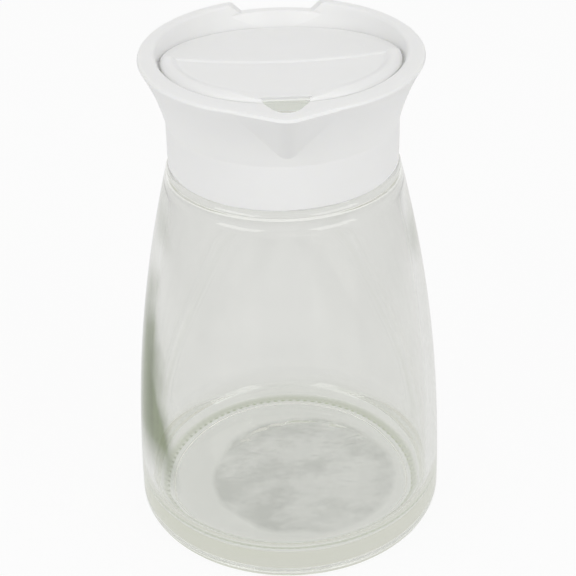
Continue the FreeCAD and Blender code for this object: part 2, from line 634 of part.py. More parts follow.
def pivot_boss(side):
    """Boss and axle pin on one side of the flap, turned about the axle."""
    inner = flap_radius() - BOSS_LENGTH
    step = flap_radius() - BOSS_SETBACK
    end = flap_radius() + FLAP_GAP + PIN_LENGTH
    section = [(inner, 0.0), (inner, PIN_RADIUS + BOSS_EXTRA), (step, PIN_RADIUS + BOSS_EXTRA),
               (step, PIN_RADIUS), (end, PIN_RADIUS), (end, 0.0)]
    ring = [vec(side * x, PIVOT_Y, PIVOT_Z + r) for x, r in section]
    face = Part.Face(Part.makePolygon(ring + ring[:1]))
    return face.revolve(vec(0, PIVOT_Y, PIVOT_Z), vec(1, 0, 0), 360)


def cross_rib():
    """Rib under the flap from one axle boss to the other."""
    reach = flap_radius() - 2 * BOSS_SETBACK
    top = REAR_HEIGHT - REAR_SLOPE * PIVOT_Y - 0.5 * FLAP_THICKNESS
    low = PIVOT_Z - RIB_DEPTH
    end = PIVOT_Z - 0.5 * (PIN_RADIUS + BOSS_EXTRA)
    corners = [(-reach, top), (-reach, end), (-0.5 * reach, low),
               (0.5 * reach, low), (reach, end), (reach, top)]
    return prism_y(corners, PIVOT_Y - 0.5 * RIB_THICKNESS, PIVOT_Y + 0.5 * RIB_THICKNESS)


def build_flap():
    """Rocker flap: raised front plate, falling rear half, bead, rib and axle pins."""
    zone = front_zone()
    body = front_disc().common(zone).cut(flap_opening())
    for piece in (rear_slab().cut(zone), crease_bead(), cross_rib(), pivot_boss(-1), pivot_boss(1)):
        body = body.fuse(piece)
    return one_solid(body)


def main():
    """Build every piece and write one STEP file for each."""
    os.makedirs("parts", exist_ok=True)
    pieces = {
        "glass_jar": build_jar(),
        "lid_collar": build_collar(),
        "lid_flap": build_flap(),
    }
    for name, shape in pieces.items():
        shape.exportStep("parts/%s.step" % name)
        box = shape.BoundBox
        print(name, "volume %.0f mm3" % shape.Volume, "valid", shape.isValid(),
              "z %.2f to %.2f" % (box.ZMin, box.ZMax), "faces", len(shape.Faces))


main()
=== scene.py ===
"""Sugar dispenser: a glass jar, a white collar on its neck and a rocker flap.

Sizes of the pieces are in millimetres; MM turns them into metres where a mesh or a shader takes them.
"""

import logging
import math
from dataclasses import dataclass, field
from enum import Enum

import bpy
import numpy as np
from mathutils import Matrix, Vector


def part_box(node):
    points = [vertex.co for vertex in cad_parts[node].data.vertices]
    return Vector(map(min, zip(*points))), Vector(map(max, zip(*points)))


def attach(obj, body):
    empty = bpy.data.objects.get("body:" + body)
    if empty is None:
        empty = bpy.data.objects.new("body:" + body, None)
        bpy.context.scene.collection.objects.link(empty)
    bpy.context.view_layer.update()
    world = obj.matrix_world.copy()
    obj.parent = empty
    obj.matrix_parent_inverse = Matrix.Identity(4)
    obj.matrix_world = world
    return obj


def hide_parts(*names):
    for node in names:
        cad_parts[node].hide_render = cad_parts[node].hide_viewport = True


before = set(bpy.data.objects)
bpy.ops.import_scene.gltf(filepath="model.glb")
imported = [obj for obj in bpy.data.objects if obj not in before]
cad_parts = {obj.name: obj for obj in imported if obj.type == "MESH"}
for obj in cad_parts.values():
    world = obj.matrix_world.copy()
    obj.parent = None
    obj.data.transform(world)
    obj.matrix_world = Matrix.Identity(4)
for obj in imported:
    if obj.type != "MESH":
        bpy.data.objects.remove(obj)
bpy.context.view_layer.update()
MM = 0.001
BLACK = (0.0, 0.0, 0.0, 1.0)
WHITE = (1.0, 1.0, 1.0, 1.0)
LOG = logging.getLogger("sugar_dispenser")
Point = tuple[float, float]
Colour = tuple[float, float, float]
Socket = bpy.types.NodeSocket
Group = bpy.types.NodeTree


class Body(Enum):
    """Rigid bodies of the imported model."""

    BASE = "base"
    FLAP = "flap"


class Node(Enum):
    """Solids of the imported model."""

    JAR = "glass_jar"
    COLLAR = "lid_collar"
    FLAP = "lid_flap"


class Slot(Enum):
    """Material slots of the record."""

    GLASS = "jar_glass"
    PLASTIC = "white_plastic"


class Zone(Enum):
    """Stretches of the jar's section that get relief of their own."""

    FLOOR = "floor"
    CORNER = "corner"
    INSIDE = "inside"
    NECK = "neck"
    SIDE = "side"
    HEEL = "heel"
    BEARING = "bearing"
    UNDERSIDE = "underside"


class Kind(Enum):
    """Kinds of socket that a node group has."""

    COLOUR = "NodeSocketColor"
    VALUE = "NodeSocketFloat"


# --------------------------------------------------------------------- shaders
class Tree:
    """A node tree with short calls for adding and joining nodes."""

    def __init__(self, tree: Group) -> None:
        """Wrap a tree.

        Args:
            tree: The node tree of a material, a world or a group.
        """
        self.tree = tree

    def add(self, kind: str, settings: dict | None = None, **values: object) -> bpy.types.Node:
        """Add a node.

        Args:
            kind: Blender's identifier of the node.
            settings: Properties of the node, such as its operation.
            values: Input sockets by name with underscores; a socket is joined, a value is set.

        Returns:
            The new node.
        """
        node = self.tree.nodes.new(kind)
        for key, value in (settings or {}).items():
            setattr(node, key, value)
        for key, value in values.items():
            self.feed(node.inputs[key.replace("_", " ")], value)
        return node

    def feed(self, socket: Socket, value: object) -> None:
        """Join a socket to an input, or set the input's plain value.

        Args:
            socket: The input.
            value: A socket or a value.
        """
        if isinstance(value, Socket):
            self.tree.links.new(value, socket)
        else:
            socket.default_value = value

    def group(self, group: Group, **values: object) -> bpy.types.NodeOutputs:
        """Place a node group and return its outputs."""
        return self.add("ShaderNodeGroup", {"node_tree": group}, **values).outputs

    def point(self) -> Socket:
        """Coordinates of the shaded point in the object's own frame, in metres."""
        return self.add("ShaderNodeTexCoord").outputs["Object"]

    def axes(self, vector: Socket) -> bpy.types.NodeOutputs:
        """X, Y and Z sockets of a vector."""
        return self.add("ShaderNodeSeparateXYZ", Vector=vector).outputs

    def math(self, operation: str, first: object, second: object = 0.0) -> Socket:
        """Add a Math node.

        Args:
            operation: Blender's name of the operation.
            first: First socket or number.
            second: Second socket or number.

        Returns:
            The result's socket.
        """
        node = self.add("ShaderNodeMath", {"operation": operation})
        self.feed(node.inputs[0], first)
        self.feed(node.inputs[1], second)
        return node.outputs[0]

    def product(self, first: object, *others: object) -> Socket:
        """Multiply from left to right.

        Args:
            first: First socket or number.
            others: The further sockets or numbers.

        Returns:
            The result's socket.
        """
        for other in others:
            first = self.math("MULTIPLY", first, other)
        return first

    def distance(self, x: Socket, y: Socket) -> Socket:
        """Distance of a point from an axis, from its two offsets."""
        return self.math("SQRT", self.math("ADD", self.math("MULTIPLY", x, x), self.math("MULTIPLY", y, y)))

    def mix(self, share: object, low: object, high: object) -> Socket:
        """Blend two colours.

        Args:
            share: How much of the second colour shows.
            low: First colour or socket.
            high: Second colour or socket.

        Returns:
            The blended colour's socket.
        """
        node = self.add("ShaderNodeMix", {"data_type": "RGBA"})
        self.feed(node.inputs[0], share)
        self.feed(node.inputs[6], low)
        self.feed(node.inputs[7], high)
        return node.outputs[2]

    def either(self, share: Socket, first: Socket, second: Socket) -> Socket:
        """Blend two shaders.

        Args:
            share: How much of the second shader shows.
            first: First shader's socket.
            second: Second shader's socket.

        Returns:
            The blended shader's socket.
        """
        node = self.add("ShaderNodeMixShader", Fac=share)
        self.feed(node.inputs[1], first)
        self.feed(node.inputs[2], second)
        return node.outputs["Shader"]

    def noise(self, place: Socket, scale: object, detail: float = 2.0, rough: float = 0.5) -> Socket:
        """Add noise in metres.

        Args:
            place: Socket with the coordinates.
            scale: Cells per metre, a number or a socket.
            detail: Octaves.
            rough: Strength of the finer octaves.

        Returns:
            The noise value's socket.
        """
        node = self.add("ShaderNodeTexNoise", Vector=place, Scale=scale, Detail=detail, Roughness=rough)
        return node.outputs["Fac"]

    def remap(self, value: Socket, low: object, high: object,
              to_low: object = 0.0, to_high: object = 1.0) -> Socket:
        """Map a value from one range onto another, clamped.

        Args:
            value: The value's socket.
            low: Value that becomes to_low, a number or a socket like the others.
            high: Value that becomes to_high.
            to_low: Result at the low end.
            to_high: Result at the high end.

        Returns:
            The result's socket.
        """
        node = self.add("ShaderNodeMapRange", Value=value, From_Min=low, From_Max=high,
                        To_Min=to_low, To_Max=to_high)
        return node.outputs["Result"]


def new_material(name: str) -> tuple[bpy.types.Material, Tree]:
    """Make an empty material with nodes.

    Args:
        name: Name of the material.

    Returns:
        The material and its wrapped tree.
    """
    material = bpy.data.materials.new(name)
    material.use_nodes = True
    material.node_tree.nodes.clear()
    return material, Tree(material.node_tree)


def new_group(name: str, takes: dict[str, Kind], gives: dict[str, Kind]) -> tuple[Group, Tree]:
    """Make an empty node group with named sockets.

    Args:
        name: Name of the group.
        takes: Its inputs and their kinds.
        gives: Its outputs and their kinds.

    Returns:
        The group and its wrapped tree.
    """
    group = bpy.data.node_groups.new(name, "ShaderNodeTree")
    for way, sockets in (("INPUT", takes), ("OUTPUT", gives)):
        for label, kind in sockets.items():
            group.interface.new_socket(label, in_out=way, socket_type=kind.value)
    return group, Tree(group)


def moulded_surface() -> Group:
    """Build the group that both plastic finishes share: fine grain, flow clouds and rub marks.

    Returns:
        The node group, with its colour, roughness and height outputs.
    """
    group, tree = new_group(
        "moulded_surface",
        {"Tint": Kind.COLOUR, "Shade": Kind.COLOUR, "Roughness": Kind.VALUE, "Grain Scale": Kind.VALUE},
        {"Colour": Kind.COLOUR, "Roughness": Kind.VALUE, "Height": Kind.VALUE})
    given = tree.add("NodeGroupInput").outputs
    place = tree.point()
    clouds = tree.noise(place, scale=45.0, detail=3.0, rough=0.55)
    rub = tree.noise(place, scale=310.0, detail=4.0, rough=0.65)
    grain = tree.noise(place, scale=given["Grain Scale"])
    colour = tree.mix(tree.remap(clouds, 0.35, 0.7), given["Tint"], given["Shade"])
    uneven = tree.remap(rub, 0.3, 0.75, -0.04, 0.06)
    rough = tree.math("ADD", given["Roughness"], uneven)
    height = tree.math("ADD", tree.product(grain, 0.35), tree.product(rub, 0.65))
    tree.add("NodeGroupOutput", Colour=colour, Roughness=rough, Height=height)
    return group


def painted_glow_mask() -> Group:
    """Build the group that masks the inner faces, which get a glow of painted light in place of the light
    that comes through the thin wall.

    Returns:
        The node group, with one mask output.
    """
    sizes = ("Low Radius", "High Radius", "Step Height", "Top Height", "Underside")
    group, tree = new_group("painted_glow_mask", dict.fromkeys(sizes, Kind.VALUE), {"Mask": Kind.VALUE})
    given = tree.add("NodeGroupInput").outputs
    place = tree.axes(tree.point())
    upper = tree.math("GREATER_THAN", place["Z"], given["Step Height"])
    step = tree.product(upper, tree.math("SUBTRACT", given["High Radius"], given["Low Radius"]))
    reach = tree.math("ADD", given["Low Radius"], step)
    near = tree.math("LESS_THAN", tree.distance(place["X"], place["Y"]), reach)
    inner = tree.product(near, tree.math("LESS_THAN", place["Z"], given["Top Height"]))
    facing = tree.axes(tree.add("ShaderNodeNewGeometry").outputs["True Normal"])
    down = tree.math("LESS_THAN", facing["Z"], -0.3)
    mask = tree.math("MAXIMUM", inner, tree.product(down, given["Underside"]))
    tree.add("NodeGroupOutput", Mask=mask)
    return group


@dataclass(frozen=True)
class Interior:
    """Where the inner faces of one moulded piece lie, which get a glow of painted light: inside a radius
    that steps out at a height.

    With underside at 1, all faces that look down count as well.
    """

    low_radius: float = 0.0
    high_radius: float = 0.0
    step_height: float = 0.0
    top_height: float = 0.0
    underside: float = 0.0

    def mask(self, tree: Tree, shaded: Group) -> Socket:
        """Place the shared mask with this piece's sizes.

        Args:
            tree: Tree of the piece's material.
            shaded: The shared group that masks the inner faces for the painted glow.

        Returns:
            The mask's socket.
        """
        return tree.group(
            shaded, Low_Radius=self.low_radius * MM, High_Radius=self.high_radius * MM,
            Step_Height=self.step_height * MM, Top_Height=self.top_height * MM,
            Underside=self.underside)["Mask"]


@dataclass(frozen=True)
class PlasticFinish:
    """White moulded polypropylene with a soft gloss, a little light going through it."""

    name: str
    tint: Colour = (0.862, 0.862, 0.857)
    shade: Colour = (0.848, 0.849, 0.842)
    roughness: float = 0.36
    grain_scale: float = 4000.0
    relief: float = 0.012
    depth: float = 0.35
    depth_tint: Colour = (1.0, 1.0, 0.9)
    interior: Interior = Interior()
    # Painted light: colour of the glow that the inner faces give off.
    painted_daylight: Colour = (0.265, 0.269, 0.26)

    def material(self, surface: Group, shaded: Group) -> bpy.types.Material:
        """Make the material.

        Args:
            surface: The shared group for moulded surfaces.
            shaded: The shared group that masks the inner faces for the painted glow.

        Returns:
            The material.
        """
        material, tree = new_material(self.name)
        skin = tree.group(surface, Tint=(*self.tint, 1.0), Shade=(*self.shade, 1.0),
                          Roughness=self.roughness, Grain_Scale=self.grain_scale)
        bump = tree.add("ShaderNodeBump", Strength=0.35, Distance=self.relief * MM, Height=skin["Height"])
        # Painted light: the masked inner faces glow, though they are no lamp.
        glow = tree.mix(self.interior.mask(tree, shaded), BLACK, (*self.painted_daylight, 1.0))
        shader = tree.add(
            "ShaderNodeBsdfPrincipled", Base_Color=skin["Colour"], Roughness=skin["Roughness"],
            Normal=bump.outputs["Normal"], IOR=1.49, Emission_Color=glow, Emission_Strength=1.0,
            Subsurface_Weight=self.depth, Subsurface_Radius=self.depth_tint, Subsurface_Scale=1.0 * MM)
        tree.add("ShaderNodeOutputMaterial", Surface=shader.outputs["BSDF"])
        return material


@dataclass(frozen=True)
class PaintedReflection:
    """Painted reflection: a dark green band, standing for the dark surroundings seen in the glass's edge,
    that widens downwards along one edge of the wall, on its front half.
    """

    side: float         # -1 for the left edge, 1 for the right
    top: float
    bottom: float
    width: float
    soft: float = 3.2
    foot_below: float = 4.0
    foot_above: float = 8.0
    front_from: float = 4.0
    front_to: float = -8.0

    def mask(self, tree: Tree, outline: Socket, place: bpy.types.NodeOutputs, shiver: Socket) -> Socket:
        """Build the mask of the painted reflection.

        Args:
            tree: Tree the nodes go in.
            outline: Radius of the side at this height.
            place: X, Y and Z sockets of the point.
            shiver: Small offset that makes the border uneven.

        Returns:
            The mask's socket.
        """
        reach = tree.remap(place["Z"], self.bottom * MM, self.top * MM, self.width * MM, 0.0)
        inset = tree.math("SUBTRACT", outline, tree.product(place["X"], self.side))
        over = tree.math("SUBTRACT", tree.math("ADD", inset, shiver), reach)
        wide = tree.remap(over, 0.0, -self.soft * MM)
        foot = tree.remap(place["Z"], (self.bottom - self.foot_below) * MM,
                          (self.bottom + self.foot_above) * MM)
        front = tree.remap(place["Y"], self.front_from * MM, self.front_to * MM)
        return tree.product(wide, foot, front)


@dataclass(frozen=True)
class GlassPaintedLight:
    """Painted light and shade in the glass's colour: painted reflections as dark bands in the wall, painted
    shade on the raised panel underneath, along the knurled ring and at the foot of the heel.

    outline holds the three factors of the parabola, in metres, that the side nearly follows.
    """

    outline: tuple[float, float, float]
    disc_centre: float
    disc_radius: float
    ring_radius: float
    knurls: int
    underside_top: float = 4.6
    ring_half: float = 0.6
    ring_top: float = 0.9
    skin: float = 1.3
    heel_height: float = 1.5
    painted_reflections: tuple[PaintedReflection, ...] = (
        PaintedReflection(side=-1.0, top=80.0, bottom=22.0, width=12.0),
        PaintedReflection(side=-1.0, top=96.0, bottom=83.0, width=4.4),
        PaintedReflection(side=1.0, top=91.0, bottom=76.5, width=3.6),
    )
    # Painted reflection: colour of the dark bands along the wall's edges.
    reflection_olive: Colour = (0.15, 0.19, 0.09)
    # Painted shade: colour of the darker foot of the heel, partly the green of thick glass.
    heel: Colour = (0.56, 0.60, 0.47)
    # Painted shade: colour of the shaded floor seen through the panel underneath.
    panel_shade_grey: Colour = (0.50, 0.51, 0.49)
    # Painted shade: colour of the dark dashes along the knurled ring.
    knurl_shade: Colour = (0.32, 0.38, 0.20)

    def group(self) -> Group:
        """Build the group that tints the glass at these places.

        Returns:
            The node group: Tint goes in, Colour comes out.
        """
        group, tree = new_group("glass_painted_light", {"Tint": Kind.COLOUR}, {"Colour": Kind.COLOUR})
        colour = tree.add("NodeGroupInput").outputs["Tint"]
        point = tree.point()
        place = tree.axes(point)
        radius = tree.distance(place["X"], place["Y"])
        # Painted shade on the raised panel underneath.
        colour = tree.mix(self.disc(tree, point, place), colour, (*self.panel_shade_grey, 1.0))
        # Painted shade: dark dashes along the knurled ring.
        colour = tree.mix(self.ring(tree, radius, place), colour, (*self.knurl_shade, 1.0))
        # Painted shade: the foot of the heel darkens, partly the green of thick glass.
        outer = tree.math("GREATER_THAN", radius, (self.ring_radius + 0.5) * MM)
        foot = tree.remap(place["Z"], self.heel_height * MM, 0.3 * self.heel_height * MM)
        colour = tree.mix(tree.product(outer, foot), colour, (*self.heel, 1.0))
        side = self.side(tree, place["Z"])
        outside = tree.math("GREATER_THAN", radius, tree.math("SUBTRACT", side, self.skin * MM))
        shiver = tree.remap(tree.noise(point, scale=60.0), 0.3, 0.7, -1.2 * MM, 1.2 * MM)
        # Painted reflection: dark green bands along the wall's edges.
        for reflection_mark in self.painted_reflections:
            mask = tree.product(reflection_mark.mask(tree, side, place, shiver), outside)
            colour = tree.mix(mask, colour, (*self.reflection_olive, 1.0))
        tree.add("NodeGroupOutput", Colour=colour)
        return group

    def side(self, tree: Tree, height: Socket) -> Socket:
        """Radius of the side at a height, from the parabola that it nearly follows.

        Args:
            tree: Tree the nodes go in.
            height: Height of the point.

        Returns:
            The radius's socket.
        """
        square, straight, start = self.outline
        slope = tree.math("ADD", tree.product(height, square), straight)
        return tree.math("ADD", tree.product(slope, height), start)

    def disc(self, tree: Tree, point: Socket, place: bpy.types.NodeOutputs) -> Socket:
        """Mask of the painted shade, a round patchy spot on the raised panel underneath, standing for the
        shaded floor seen through it.

        Args:
            tree: Tree the nodes go in.
            point: Socket with the coordinates.
            place: X, Y and Z sockets of the point.

        Returns:
            The mask's socket.
        """
        away = tree.distance(tree.math("SUBTRACT", place["X"], self.disc_centre * MM), place["Y"])
        ragged = tree.remap(tree.noise(point, scale=80.0), 0.3, 0.7, -0.9 * MM, 0.9 * MM)
        edge = tree.math("SUBTRACT", tree.math("ADD", away, ragged), self.disc_radius * MM)
        inside = tree.remap(edge, 0.7 * MM, -0.9 * MM)
        drawn = tree.add("ShaderNodeMapping", {"vector_type": "POINT"}, Vector=point, Scale=(0.7, 1.0, 1.0))
        cloud = tree.noise(drawn.outputs["Vector"], scale=115.0, detail=4.0, rough=0.62)
        patches = tree.remap(cloud, 0.38, 0.60, 1.0, 0.3)
        under = tree.math("LESS_THAN", place["Z"], self.underside_top * MM)
        return tree.product(inside, patches, under)

    def ring(self, tree: Tree, radius: Socket, place: bpy.types.NodeOutputs) -> Socket:
        """Mask of the short dark dashes of painted shade along the knurled ring.

        Args:
            tree: Tree the nodes go in.
            radius: Distance of the point from the axis.
            place: X, Y and Z sockets of the point.

        Returns:
            The mask's socket.
        """
        off = tree.math("ABSOLUTE", tree.math("SUBTRACT", radius, self.ring_radius * MM))
        line = tree.remap(off, self.ring_half * MM, 0.5 * self.ring_half * MM)
        angle = tree.math("ARCTAN2", place["Y"], place["X"])
        wave = tree.math("SINE", tree.product(angle, float(self.knurls)))
        dash = tree.remap(wave, -0.6, 0.6, 0.35, 1.0)
        low = tree.math("LESS_THAN", place["Z"], self.ring_top * MM)
        return tree.product(line, dash, low)


@dataclass(frozen=True)
class GlassFinish:
    """Clear soda-lime glass whose thick parts look faintly green.

    Light that has been mirrored inside it more than last_echo times is taken as the trapped colour.
    """

    name: str = "soda_lime_glass"
    tint: Colour = (0.938, 0.938, 0.928)
    deep: Colour = (0.84, 0.90, 0.70)
    density: float = 12.0
    swirl: float = 0.05
    trapped: Colour = (0.69, 0.68, 0.665)
    last_echo: float = 2.5
    passing: Colour = (0.88, 0.885, 0.875)

    def material(self, marks: GlassPaintedLight) -> bpy.types.Material:
        """Make the material.

        Args:
            marks: Painted light and shade in the glass's colour.

        Returns:
            The material, with a colour that builds up with the depth of glass.
        """
        material, tree = new_material(self.name)
        swirl = tree.noise(tree.point(), scale=38.0, rough=0.45)
        bump = tree.add("ShaderNodeBump", Strength=0.4, Distance=self.swirl * MM, Height=swirl)
        skin = tree.group(marks.group(), Tint=(*self.tint, 1.0))
        shader = tree.add(
            "ShaderNodeBsdfPrincipled", Base_Color=skin["Colour"], Roughness=0.0, IOR=1.52,
            Normal=bump.outputs["Normal"], Transmission_Weight=1.0)
        path = tree.add("ShaderNodeLightPath").outputs
        ended = tree.math("GREATER_THAN", path["Glossy Depth"], self.last_echo)
        glow = tree.add("ShaderNodeEmission", Color=(*self.trapped, 1.0), Strength=1.0)
        seen = tree.either(ended, shader.outputs["BSDF"], glow.outputs["Emission"])
        light = tree.math("MAXIMUM", path["Is Shadow Ray"], path["Is Diffuse Ray"])
        clear = tree.add("ShaderNodeBsdfTransparent", Color=(*self.passing, 1.0))
        final = tree.either(light, seen, clear.outputs["BSDF"])
        depth = tree.add("ShaderNodeVolumeAbsorption", Color=(*self.deep, 1.0), Density=self.density)
        tree.add("ShaderNodeOutputMaterial", Surface=final, Volume=depth.outputs["Volume"])
        return material


@dataclass(frozen=True)
class SideFall:
    """Fall of light to the left and right of the set, each side from a start to an end."""

    left: tuple[float, float]
    right: tuple[float, float]
    least: float = 0.7

    def level(self, tree: Tree, across: Socket) -> Socket:
        """Build the level: 1 in the middle, least beyond the two ends.

        Args:
            tree: Tree the nodes go in.
            across: Place or heading across the set.

        Returns:
            The level's socket.
        """
        right = tree.remap(across, *self.right, 1.0, self.least)
        left = tree.remap(tree.product(across, -1.0), *self.left, 1.0, self.least)
        return tree.math("MINIMUM", left, right)


@dataclass(frozen=True)
class SweepFinish:
    """White paper of the studio floor, lifted to plain white where the camera or glass sees it."""

    name: str = "white_paper"
    paper: float = 0.84
    lift: float = 0.9
    lift_in_glass: float = 0.39
    lift_of_bounce: float = 0.22
    fall: SideFall = SideFall(left=(0.17, 0.27), right=(0.16, 0.26))

    def material(self) -> bpy.types.Material:
        """Make the material.

        Returns:
            The material of the floor.
        """
        material, tree = new_material(self.name)
        place = tree.point()
        fibre = tree.noise(place, scale=900.0, detail=3.0, rough=0.6)
        tone = tree.remap(fibre, 0.3, 0.7, self.paper - 0.01, self.paper + 0.01)
        tint = tree.add("ShaderNodeCombineColor", Red=tone, Green=tone, Blue=tone)
        paper = tree.add("ShaderNodeBsdfPrincipled", Base_Color=tint.outputs["Color"], Roughness=0.9)
        glow = tree.add("ShaderNodeEmission", Color=WHITE, Strength=1.0)
        path = tree.add("ShaderNodeLightPath").outputs
        mirrored = tree.math("MAXIMUM", path["Is Glossy Ray"], path["Is Transmission Ray"])
        direct = tree.product(path["Is Camera Ray"], self.lift)
        seen = tree.math("MAXIMUM", direct, tree.product(mirrored, self.lift_in_glass))
        share = tree.math("MAXIMUM", seen, self.lift_of_bounce)
        lifted = tree.either(share, paper.outputs["BSDF"], glow.outputs["Emission"])
        level = tree.math("MAXIMUM", path["Is Camera Ray"], self.fall.level(tree, tree.axes(place)["X"]))
        black = tree.add("ShaderNodeBsdfDiffuse", Color=(0.02, 0.02, 0.02, 1.0))
        dimmed = tree.product(mirrored, tree.math("SUBTRACT", 1.0, level))
        tree.add("ShaderNodeOutputMaterial", Surface=tree.either(dimmed, lifted, black.outputs["BSDF"]))
        return material


# ---------------------------------------------------------------------- meshes
@dataclass
class Section:
    """Half section of a turned piece: (radius, height) points in mm with their zones."""

    points: list[Point] = field(default_factory=list)
    zones: list[Zone] = field(default_factory=list)

    def put(self, point: Point, zone: Zone) -> None:
        """Add one point unless it repeats the last one.

        Args:
            point: Radius and height.
            zone: Its zone.
        """
        if self.points and math.dist(self.points[-1], point) < 1e-6:
            return
        self.points.append(point)
        self.zones.append(zone)

    def rows(self, *zones: Zone) -> np.ndarray:
        """Numbers of the points that lie in the given zones."""
        return np.array([k for k, zone in enumerate(self.zones) if zone in zones])

    def line(self, end: Point, steps: int, zone: Zone) -> None:
        """Go straight to a point.

        Args:
            end: Where the line ends.
            steps: Number of equal steps.
            zone: Zone of the new points.
        """
        start = self.points[-1]
        for k in range(1, steps + 1):
            t = k / steps
            self.put((start[0] + t * (end[0] - start[0]), start[1] + t * (end[1] - start[1])), zone)

    def arc(self, heading: Point, end: Point, steps: int, zone: Zone) -> None:
        """Follow a circular arc that leaves the last point along a heading.

        Args:
            heading: Direction at the start.
            end: Where the arc ends.
            steps: Number of equal steps.
            zone: Zone of the new points.
        """
        for point in arc_points(self.points[-1], heading, end, steps):
            self.put(point, zone)

    def arc_into(self, end: Point, heading: Point, steps: int, zone: Zone) -> None:
        """Follow a circular arc whose far end leaves backwards along a heading.

        Args:
            end: Where the arc ends.
            heading: Direction at the end, seen going back.
            steps: Number of equal steps.
            zone: Zone of the new points.
        """
        back = arc_points(end, heading, self.points[-1], steps)
        for point in list(reversed(back[:-1])) + [end]:
            self.put(point, zone)


def arc_points(start: Point, heading: Point, end: Point, steps: int) -> list[Point]:
    """Points of the arc that leaves a start along a heading and reaches an end.

    Args:
        start: First point, not returned.
        heading: Direction at the start.
        end: Last point.
        steps: Number of equal steps.

    Returns:
        The points after the start, the end included.
    """
    across, up = end[0] - start[0], end[1] - start[1]
    swing = math.atan2(heading[0] * up - heading[1] * across, heading[0] * across + heading[1] * up)
    chord = math.hypot(across, up)
    lead = math.atan2(heading[1], heading[0])
    made = []
    for k in range(1, steps + 1):
        turn = 2.0 * swing * k / steps
        if abs(swing) < 1e-6:
            reach = chord * k / steps
        else:
            reach = chord * math.sin(0.5 * turn) / math.sin(swing)
        aim = lead + 0.5 * turn
        made.append((start[0] + reach * math.cos(aim), start[1] + reach * math.sin(aim)))
    return made


def make_object(name: str, co: np.ndarray, faces: list[tuple[int, ...]]) -> bpy.types.Object:
    """Make a smooth-shaded mesh object from points in mm.

    Args:
        name: Name of the piece.
        co: Corner points, in mm.
        faces: Corner numbers of each face.

    Returns:
        The object, linked to the scene.
    """
    mesh = bpy.data.meshes.new(name)
    mesh.from_pydata((co * MM).tolist(), [], faces)
    mesh.validate()
    mesh.shade_smooth()
    obj = bpy.data.objects.new(name, mesh)
    bpy.context.scene.collection.objects.link(obj)
    return obj


def lathe_faces(rows: int, around: int) -> list[tuple[int, ...]]:
    """Faces of a turned surface that closes on two poles, which are its first two points.

    Args:
        rows: Number of rows of points, from the first pole to the second.
        around: Number of points in a row.

    Returns:
        The faces, facing outward for a section that runs inside, neck, outside, underside.
    """
    faces: list[tuple[int, ...]] = []
    first = 2
    last = first + (rows - 1) * around
    for j in range(around):
        k = (j + 1) % around
        faces.append((0, first + j, first + k))
        faces.append((1, last + k, last + j))
    for base in range(first, last, around):
        for j in range(around):
            k = (j + 1) % around
            faces.append((base + j, base + around + j, base + around + k, base + k))
    return faces


def ramp(value: np.ndarray, run: float) -> np.ndarray:
    """Rise from 0 to 1 over a run, flat before and after."""
    return np.clip(value / run, 0.0, 1.0)


def soft_noise(angle: np.ndarray, height: np.ndarray, seed: int, waves: int, most: int) -> np.ndarray:
    """Smooth seamless noise round a turned surface, from a sum of waves.

    Args:
        angle: Angle of each point.
        height: Height of each point, in mm.
        seed: Seed of the random waves.
        waves: Number of waves.
        most: Highest wave count round the surface.

    Returns:
        Values of about -1 to 1.
    """
    rng = np.random.default_rng(seed)
    total = np.zeros_like(angle)
    for _ in range(waves):
        turns = rng.integers(1, most + 1)
        climb = rng.normal(0.0, 0.055)
        phase = rng.uniform(0.0, 2.0 * math.pi)
        total += np.sin(turns * angle + climb * height + phase)
    return total / math.sqrt(0.5 * waves) * 0.5


# --------------------------------------------------------------------- the jar
@dataclass(frozen=True)
class Unevenness:
    """Slow waves in the wall that come from blowing the glass."""

    zone: Zone
    depth: float
    seed: int
    most: int

    def relief(self, angle: np.ndarray, height: np.ndarray) -> np.ndarray:
        """Depth of the waves at each point, in mm."""
        return self.depth * (0.6 + 0.4 * soft_noise(angle, height, self.seed, 9, self.most))


@dataclass(frozen=True)
class Thread:
    """Screw thread round the neck."""

    start: float = 3.0
    height: float = 1.1
    pitch: float = 4.2
    turns: float = 1.1
    half_width: float = 1.15
    run_in: float = 0.05

    def relief(self, angle: np.ndarray, height: np.ndarray) -> np.ndarray:
        """Height of the thread over the neck.

        Args:
            angle: Angle of each point, 0 to a full turn.
            height: Height of each point above the shoulder.

        Returns:
            Outward relief in mm.
        """
        relief = np.zeros_like(angle)
        for turn in range(-1, 3):
            along = angle / (2.0 * math.pi) + turn
            centre = self.start + self.pitch * along
            fade = ramp(along, self.run_in) * ramp(self.turns - along, self.run_in)
            shape = np.clip(1.0 - np.abs(height - centre) / self.half_width, 0.0, 1.0)
            relief = np.maximum(relief, fade * shape * shape * (3.0 - 2.0 * shape))
        return self.height * relief


@dataclass(frozen=True)
class Knurls:
    """Short radial knurls along the edge of the ring that the jar stands on."""

    count: int = 100
    depth: float = 0.22
    inward: float = 0.9
    inward_run: float = 0.4
    top: float = 1.3
    top_run: float = 0.9
    sharpness: float = 1.5

    def relief(self, outward: np.ndarray, angle: np.ndarray, height: np.ndarray) -> np.ndarray:
        """Lift of the ring's underside between the knurls.

        Args:
            outward: Distance of each point outside the ring's edge.
            angle: Angle of each point.
            height: Height of each point.

        Returns:
            Upward relief in mm.
        """
        ridge = 0.5 + 0.5 * np.cos(self.count * angle)
        band = ramp(outward + self.inward, self.inward_run) * ramp(self.top - height, self.top_run)
        return self.depth * (1.0 - ridge ** self.sharpness) * band


